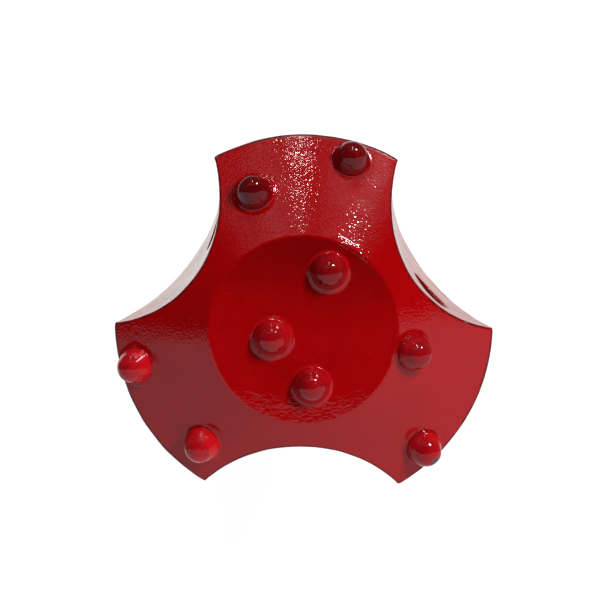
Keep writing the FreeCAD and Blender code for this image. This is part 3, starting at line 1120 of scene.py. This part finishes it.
def enamel():
    m = bpy.data.materials.new("red_enamel_body")
    g = Nodes(m)
    v, x, y, z, r = position(g)
    out = g.new("ShaderNodeOutputMaterial")
    b = g.new("ShaderNodeBsdfPrincipled")
    g.t.links.new(b.outputs[0], out.inputs[0])
    disc = g.math("MULTIPLY", g.ramp(r, 19.3, 18.6), g.ramp(z, 72.0, 73.5))
    head = g.ramp(z, 62.6, 63.4)
    back = g.math("SUBTRACT", 1.0, head)
    # colour: thick and thin enamel, the centre face darker towards +Y, worn lighter over edges
    cloud = g.noise(v, 0.045, 3.0, 0.55)
    fine = g.noise(v, 0.35, 3.0, 0.6)
    deep = g.ramp(g.math("ADD", g.math("MULTIPLY", cloud, 0.7), g.math("MULTIPLY", fine, 0.3)), 0.42, 0.62)
    # the centre face grows darker towards +Y
    tilt = g.math("ADD", g.math("MULTIPLY", x, 0.10), y)
    disc_deep = g.ramp(tilt, -2.0, 19.0)
    depth = g.math("ADD", g.math("MULTIPLY", deep, 0.20), g.math("MULTIPLY", g.math("MULTIPLY", disc, disc_deep), 0.88), clamp=True)
    # painted shade: the middle and right of the +Y wing darkened a little, to even out how the key light falls there
    wing_shade = g.math("MULTIPLY", g.math("MULTIPLY", g.ramp(y, 0.0, 8.0), g.ramp(x, -9.0, 2.0)), g.math("SUBTRACT", 1.0, disc))
    depth = g.math("ADD", depth, g.math("MULTIPLY", wing_shade, 0.17), clamp=True)
    colour = g.mix(depth, RED, RED_DEEP)
    edge = g.attr("edge")
    foot = g.attr("foot")
    thin = g.math("MULTIPLY", g.ramp(edge, 0.55, 1.0), g.ramp(g.noise(v, 0.6, 3.0, 0.6), 0.40, 0.66))
    colour = g.mix(g.math("MULTIPLY", thin, 0.30), colour, RED_THIN)
    # painted shade in dark blotches around the feet on the wings, and the enamel lighter around the feet on the centre
    # face
    foot_shade_blotch = g.math("MULTIPLY", g.ramp(foot, 0.15, 0.8), g.ramp(g.noise(v, 0.9, 3.0, 0.6), 0.40, 0.62, 0.15, 0.75))
    colour = g.mix(g.math("MULTIPLY", foot_shade_blotch, g.math("SUBTRACT", 1.0, disc)), colour, RED_DEEP)
    colour = g.mix(g.math("MULTIPLY", g.math("MULTIPLY", g.ramp(foot, 0.45, 0.9), disc), 0.7), colour, (0.40, 0.0022, 0.0045))
    # a dark line along the sharp edges, and painted shade growing deeper into the flushing holes
    line = g.math("MULTIPLY", g.ramp(edge, 0.58, 0.90), g.ramp(g.noise(v, 0.5, 3.0, 0.6), 0.32, 0.60, 0.32, 0.88))
    colour = g.mix(line, colour, (0.060, 0.0010, 0.0020))
    colour = g.mix(g.attr("pit"), colour, (0.022, 0.0035, 0.0030))
    # chips down to dark primer and steel, only on edges
    chip = g.math("MULTIPLY", g.ramp(edge, 0.72, 0.95), g.ramp(g.noise(v, 0.42, 4.0, 0.62), 0.70, 0.73))
    low = g.math("MULTIPLY", g.ramp(z, 2.6, 0.6), g.ramp(g.noise(v, 0.5, 4.0, 0.65), 0.52, 0.60))
    chip = g.math("MAXIMUM", chip, g.math("MULTIPLY", low, 0.9))
    steel = g.mix(g.noise(v, 1.4, 3.0, 0.7), (0.055, 0.048, 0.045), (0.13, 0.115, 0.10))
    # two knocks that the photograph shows, at a wing's corner and on a flute's edge
    chip = g.math("MAXIMUM", chip, g.knock(v, (-18.0, 33.5, 62.3), 0.62))
    chip = g.math("MAXIMUM", chip, g.knock(v, (-34.6, 1.5, 64.7), 0.55))
    colour = g.mix(chip, colour, steel)
    # dust and handling haze on the back and skirt
    haze = g.math("MULTIPLY", g.math("MULTIPLY", back, g.ramp(g.noise(v, 0.16, 5.0, 0.65), 0.40, 0.80)), 0.08)
    colour = g.mix(haze, colour, (0.33, 0.20, 0.17))
    g.put(b.inputs["Base Color"], colour)
    rough = g.math("ADD", 0.062, g.math("MULTIPLY", g.ramp(g.noise(v, 0.22, 4.0, 0.6), 0.35, 0.75), 0.050))
    rough = g.math("ADD", rough, g.math("MULTIPLY", back, 0.05))
    rough = g.math("ADD", rough, g.math("MULTIPLY", g.attr("pit"), 0.40))
    rough = g.math("ADD", rough, g.math("MULTIPLY", chip, 0.38))
    rough = g.math("ADD", rough, g.math("MULTIPLY", line, 0.26))
    g.put(b.inputs["Roughness"], rough)
    b.inputs["IOR"].default_value = 1.5
    g.put(b.inputs["Specular IOR Level"], g.math("SUBTRACT", 0.5, g.math("MULTIPLY", line, 0.36)))
    # orange peel: strongest on the +Y wing, fading over the -X one, little on the centre face
    peel_zone = g.math("MULTIPLY", head, g.math("SUBTRACT", 1.0, g.math("MULTIPLY", disc, 0.72)))
    # and fading on the +Y wing from its rim towards the centre face
    wing = g.math("MULTIPLY", g.ramp(y, -14.0, 4.0, 0.22, 1.0), g.math("ADD", g.ramp(y, 9.0, 14.0, 1.0, 0.0), g.math("MULTIPLY", g.ramp(y, 9.0, 14.0), g.ramp(y, 19.0, 31.0, 0.80, 1.06))))
    # livelier by the centre face and the right flute, calmer beside the gauge button
    for at, reach, more in (((10.8, 17.6, 73.5), 5.0, 0.15), ((20.5, 9.5, 72.5), 7.0, 0.20)):
        lively = g.t.nodes.new("ShaderNodeVectorMath")
        lively.operation = "DISTANCE"
        g.put(lively.inputs[0], v)
        lively.inputs[1].default_value = at
        wing = g.math("MULTIPLY", wing, g.ramp(lively.outputs["Value"], reach, reach * 0.5, 1.0, 1.0 + more))
    calm = g.t.nodes.new("ShaderNodeVectorMath")
    calm.operation = "DISTANCE"
    g.put(calm.inputs[0], v)
    calm.inputs[1].default_value = (14.0, 31.0, 66.5)
    wing = g.math("MULTIPLY", wing, g.ramp(calm.outputs["Value"], 6.0, 12.5, 0.30, 1.0))
    amount = g.math("ADD", g.math("MULTIPLY", g.math("MULTIPLY", peel_zone, wing), 1.0), g.math("MULTIPLY", back, 0.75))
    peel = g.math("ADD", g.math("MULTIPLY", g.noise(v, 2.37, 0.5, 0.45, 0.3), 0.56), g.math("MULTIPLY", g.noise(v, 0.9, 1.0, 0.5), 0.27))
    n1 = g.bump(g.math("MULTIPLY", peel, amount), 0.000078, 1.0)
    # close runs along the centre face's edge, on the side where the bevel rolls over it
    ang = g.math("MULTIPLY", g.math("ARCTAN2", y, x), 8.0)
    turn = g.new("ShaderNodeCombineXYZ", X=g.math("MULTIPLY", r, 2.0), Y=g.math("MULTIPLY", ang, 2.6), Z=0.0)
    bead = g.math("MULTIPLY", g.ramp(g.math("ABSOLUTE", g.math("SUBTRACT", r, 19.4)), 1.0, 0.35), g.math("MULTIPLY", g.ramp(ang, 5.0, 7.2), g.ramp(ang, 11.4, 9.6)))
    n1 = g.bump(g.math("MULTIPLY", g.noise(turn.outputs[0], 1.0, 0.8, 0.5, 0.2), bead), 0.000120, 1.0, n1)
    # small pips all over the centre face, and close ripples along its lower rim
    specks = g.ramp(g.voronoi(v, 0.55), 0.0, 0.22, 1.0, 0.0)
    n2 = g.bump(g.math("MULTIPLY", specks, g.ramp(g.noise(v, 0.2, 2.0), 0.42, 0.60)), 0.000012, 1.0, n1)
    # and wrinkles in the pools around the feet
    pool_at = g.math("MULTIPLY", g.ramp(foot, 0.45, 0.85), g.math("ADD", 0.12, g.math("MULTIPLY", disc, 0.88)))
    wrinkle = g.math("SUBTRACT", g.noise(v, 1.3, 2.0, 0.5, 0.4), 0.5)
    n2 = g.bump(g.math("MULTIPLY", wrinkle, pool_at), 0.00009, 1.0, n2)
    rim = g.math("MULTIPLY", g.math("MULTIPLY", disc, g.ramp(y, -10.0, -15.5)), g.ramp(r, 11.0, 15.0))
    close = g.math("ADD", g.noise(g.scaled(v, 0.60, 1.25, 1.0), 1.0, 2.0, 0.5, 0.5), g.math("MULTIPLY", g.noise(v, 1.6, 1.0), 0.35))
    n2 = g.bump(g.math("MULTIPLY", close, rim), 0.00017, 1.0, n2)
    n3 = g.bump(chip, 0.00008, -0.6, n2)
    g.put(b.inputs["Normal"], n3)
    return m


def button_enamel():
    m = bpy.data.materials.new("red_enamel_buttons")
    g = Nodes(m)
    v, x, y, z, r = position(g)
    out = g.new("ShaderNodeOutputMaterial")
    b = g.new("ShaderNodeBsdfPrincipled")
    g.t.links.new(b.outputs[0], out.inputs[0])
    nose = g.attr("nose")
    tip = g.attr("tip")
    cloud = g.noise(v, 0.30, 3.0, 0.55)
    tone = g.math("MULTIPLY", g.attr("tone"), g.ramp(cloud, 0.30, 0.72, 1.10, 0.82))
    tone = g.math("MULTIPLY", tone, g.ramp(nose, 0.0, 1.0, 1.28, 0.98), clamp=True)
    colour = g.mix(tone, (0.0, 0.0, 0.0), (0.44, 0.0040, 0.0075))
    # the enamel is thin over the tip and lets a little of the grey carbide through
    thin = g.math("MULTIPLY", tip, g.ramp(g.noise(v, 1.1, 3.0, 0.6), 0.52, 0.72))
    colour = g.mix(g.math("MULTIPLY", thin, 0.22), colour, (0.24, 0.03, 0.03))
    # one button has lost a flake of enamel on its outer side
    chip = g.knock(v, (26.8, -27.2, 67.9), 1.15)
    colour = g.mix(chip, colour, g.mix(g.noise(v, 1.2, 3.0, 0.6), (0.016, 0.021, 0.018), (0.060, 0.070, 0.063)))
    g.put(b.inputs["Base Color"], colour)
    matt = g.attr("matt")
    rough = g.math("ADD", 0.050, g.math("MULTIPLY", g.ramp(g.noise(v, 0.8, 3.0, 0.6), 0.4, 0.8), 0.03))
    dull = g.math("MULTIPLY", matt, g.ramp(y, -25.5, -23.5))
    g.put(b.inputs["Roughness"], g.math("ADD", rough, g.math("MULTIPLY", dull, 0.20)))
    b.inputs["IOR"].default_value = 1.5
    g.put(b.inputs["Specular IOR Level"], g.math("SUBTRACT", 0.42, g.math("MULTIPLY", dull, 0.30)))
    calm = g.math("SUBTRACT", 1.0, g.math("MULTIPLY", nose, g.math("SUBTRACT", 0.85, g.math("MULTIPLY", matt, 0.60))))
    rip = g.math("MULTIPLY", g.noise(v, 1.3, 2.0, 0.5, 0.4), calm)
    g.put(b.inputs["Normal"], g.bump(rip, 0.00010, 1.0))
    return m


def bore_steel():
    m = bpy.data.materials.new("threaded_bore")
    g = Nodes(m)
    v, x, y, z, r = position(g)
    out = g.new("ShaderNodeOutputMaterial")
    b = g.new("ShaderNodeBsdfPrincipled")
    g.t.links.new(b.outputs[0], out.inputs[0])
    streak = g.noise(g.scaled(v, 0.35, 0.35, 3.2), 0.8, 4.0, 0.65)
    steel = g.mix(g.ramp(streak, 0.3, 0.7), (0.17, 0.16, 0.155), (0.33, 0.315, 0.30))
    rust = g.ramp(g.noise(v, 0.22, 5.0, 0.65), 0.52, 0.68)
    steel = g.mix(g.math("MULTIPLY", rust, 0.65), steel, (0.16, 0.070, 0.035))
    # overspray of red that fades with depth
    cover = g.math("ADD", g.ramp(z, 7.5, 2.0), g.math("MULTIPLY", g.math("SUBTRACT", g.noise(v, 0.45, 4.0, 0.6), 0.5), 1.3))
    paint = g.ramp(cover, 0.35, 0.62)
    colour = g.mix(paint, steel, g.mix(g.noise(v, 0.5, 2.0), RED, RED_DEEP))
    g.put(b.inputs["Base Color"], colour)
    g.put(b.inputs["Metallic"], g.math("MULTIPLY", g.math("SUBTRACT", 1.0, paint), g.math("SUBTRACT", 0.85, g.math("MULTIPLY", rust, 0.6)), clamp=True))
    g.put(b.inputs["Roughness"], g.math("ADD", g.math("MULTIPLY", paint, -0.18), g.math("ADD", 0.36, g.math("MULTIPLY", rust, 0.25))))
    ridge = g.math("ADD", g.math("MULTIPLY", g.noise(g.scaled(v, 0.12, 0.12, 5.0), 1.0, 2.0), 0.7), g.math("MULTIPLY", g.noise(v, 1.2, 3.0), 0.5))
    g.put(b.inputs["Normal"], g.bump(ridge, 0.00006, 1.0))
    return m


mat_body, mat_button, mat_bore = enamel(), button_enamel(), bore_steel()
cut.materials.append(mat_body)
cut.materials.append(mat_bore)
body.name = "bit_body_enamel"
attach(body, "root")
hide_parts("bit_body")
for name, ob in buttons.items():
    ob.data.materials.append(mat_button)
    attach(ob, "root")
    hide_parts(name)

# ------------------------------------------------------------------ floor
floor_me = bpy.data.meshes.new("floor")
s = 6.0
floor_me.from_pydata([(-s, -s, 0), (s, -s, 0), (s, s, 0), (-s, s, 0)], [], [(0, 1, 2, 3)])
floor = bpy.data.objects.new("floor", floor_me)
bpy.context.scene.collection.objects.link(floor)
mf = bpy.data.materials.new("pale_floor")
g = Nodes(mf)
out = g.new("ShaderNodeOutputMaterial")
bs = g.new("ShaderNodeBsdfPrincipled")
g.put(bs.inputs["Base Color"], (0.30, 0.30, 0.30))
bs.inputs["Roughness"].default_value = 0.9
bs.inputs["Specular IOR Level"].default_value = 0.1
bs.inputs["Emission Color"].default_value = (1, 1, 1, 1)
bs.inputs["Emission Strength"].default_value = 0.90
g.t.links.new(bs.outputs[0], out.inputs[0])
floor_me.materials.append(mf)
floor.visible_glossy = False

# ------------------------------------------------------------------ light
world = bpy.data.worlds.new("studio")
bpy.context.scene.world = world
world.use_nodes = True
wt = world.node_tree
wt.nodes.clear()
g = Nodes.__new__(Nodes)
g.t = wt
tc = wt.nodes.new("ShaderNodeTexCoord")
sep = g.new("ShaderNodeSeparateXYZ", Vector=tc.outputs["Generated"])
dx, dy, dz = sep.outputs
side = g.ramp(dx, 0.30, 0.95, 0.0, 0.19)
panel = g.ramp(g.math("SUBTRACT", dy, side), -0.165, -0.255)
over = g.math("MULTIPLY", g.ramp(dy, 0.52, 0.80), g.math("MULTIPLY", g.ramp(dz, 0.72, 0.60), g.ramp(dz, 0.34, 0.46)))
over = g.math("MULTIPLY", over, g.ramp(g.noise(tc.outputs["Generated"], 4.5, 2.0, 0.5), 0.36, 0.64, 0.70, 1.25))
over = g.math("MULTIPLY", over, g.ramp(g.noise(tc.outputs["Generated"], 8.5, 0.6, 0.5), 0.40, 0.60, 0.22, 1.85))
over = g.math("MULTIPLY", over, g.ramp(dx, 0.30, 0.60, 1.0, 1.65))
ring = g.ramp(dz, 0.30, 0.10)
behind = g.ramp(dz, -0.58, -0.80)
sky = g.math("ADD", 0.010, g.math("MULTIPLY", panel, 0.60))
sky = g.math("ADD", sky, g.math("MULTIPLY", over, 0.32))
sky = g.math("ADD", sky, g.math("MULTIPLY", ring, 0.05))
sky = g.math("MAXIMUM", sky, g.math("MULTIPLY", behind, g.ramp(dx, 0.0, 0.12, 0.98, 0.86)))
lp = wt.nodes.new("ShaderNodeLightPath")
bg1, bg2 = wt.nodes.new("ShaderNodeBackground"), wt.nodes.new("ShaderNodeBackground")
g.put(bg1.inputs["Strength"], sky)
g.put(bg1.inputs["Color"], g.mix(behind, (0.94, 0.95, 1.05), (0.98, 0.99, 0.96)))
bg2.inputs["Color"].default_value = (1, 1, 1, 1)
bg2.inputs["Strength"].default_value = 1.0
mx = wt.nodes.new("ShaderNodeMixShader")
wt.links.new(lp.outputs["Is Camera Ray"], mx.inputs[0])
wt.links.new(bg1.outputs[0], mx.inputs[1])
wt.links.new(bg2.outputs[0], mx.inputs[2])
wo = wt.nodes.new("ShaderNodeOutputWorld")
wt.links.new(mx.outputs[0], wo.inputs[0])


def lamp(name, azimuth, elevation, distance, size, power, tall=None, glossy=True, diffuse=True):
    a, e = math.radians(azimuth), math.radians(elevation)
    d = Vector((math.cos(e) * math.cos(a), math.cos(e) * math.sin(a), math.sin(e)))
    la = bpy.data.lights.new(name, "AREA")
    la.shape = "RECTANGLE" if tall else "DISK"
    la.size = size
    if tall:
        la.size_y = tall
    la.energy = power
    ob = bpy.data.objects.new(name, la)
    ob.location = d * distance + Vector((0, 0, 0.065))
    ob.rotation_euler = (-d).to_track_quat("-Z", "Y").to_euler()
    ob.visible_camera = False
    ob.visible_glossy = glossy
    ob.visible_diffuse = diffuse
    bpy.context.scene.collection.objects.link(ob)
    return ob


# a key with short shadows, soft light from the front, and a wide fill from the other side
lamp("soft_key", 42.0, 50.0, 1.6, 0.32, 17.0, glossy=False)
lamp("soft_side", 50.0, 41.0, 1.6, 0.24, 7.5, glossy=False)
lamp("soft_front", 93.0, 15.5, 1.6, 0.35, 3.6, glossy=False)
lamp("soft_fill", -35.0, 22.0, 1.6, 1.3, 5.5, glossy=False)
# two small bright sources that only make the sparkle
lamp("glint_front", 62.0, 21.0, 1.6, 0.19, 10.5, diffuse=False)
lamp("glint_long", 93.0, 15.5, 1.6, 0.052, 7.0, tall=0.62, diffuse=False)

# ------------------------------------------------------------------ camera at the photograph's angle
gauge = Vector((0, 0, GAUGE_Z)) * MM
n = Vector((0.004, 0.1317, 1.0)).normalized()
up0 = Vector((0, 1, 0)) - n * n.y
up0.normalize()
rt0 = up0.cross(n)
roll = 0.014
rt = rt0 * math.cos(roll) + up0 * math.sin(roll)
up_ = rt0 * -math.sin(roll) + up0 * math.cos(roll)
dist, px = 1.5, 4.9776
cam = bpy.data.cameras.new("camera")
cam.sensor_width = 36.0
cam.lens = px * dist / MM / 600 * 36.0
eye = gauge + n * dist
aim = gauge + rt * ((300 - 303.85) / px * MM) + up_ * ((322.68 - 300) / px * MM)
back_ = (eye - aim).normalized()
right = up_.cross(back_).normalized()
top_ = back_.cross(right)
co = bpy.data.objects.new("camera", cam)
co.matrix_world = Matrix(((right.x, top_.x, back_.x, eye.x), (right.y, top_.y, back_.y, eye.y), (right.z, top_.z, back_.z, eye.z), (0, 0, 0, 1)))
bpy.context.scene.collection.objects.link(co)
bpy.context.scene.camera = co
bpy.context.scene.view_settings.view_transform = "Standard"
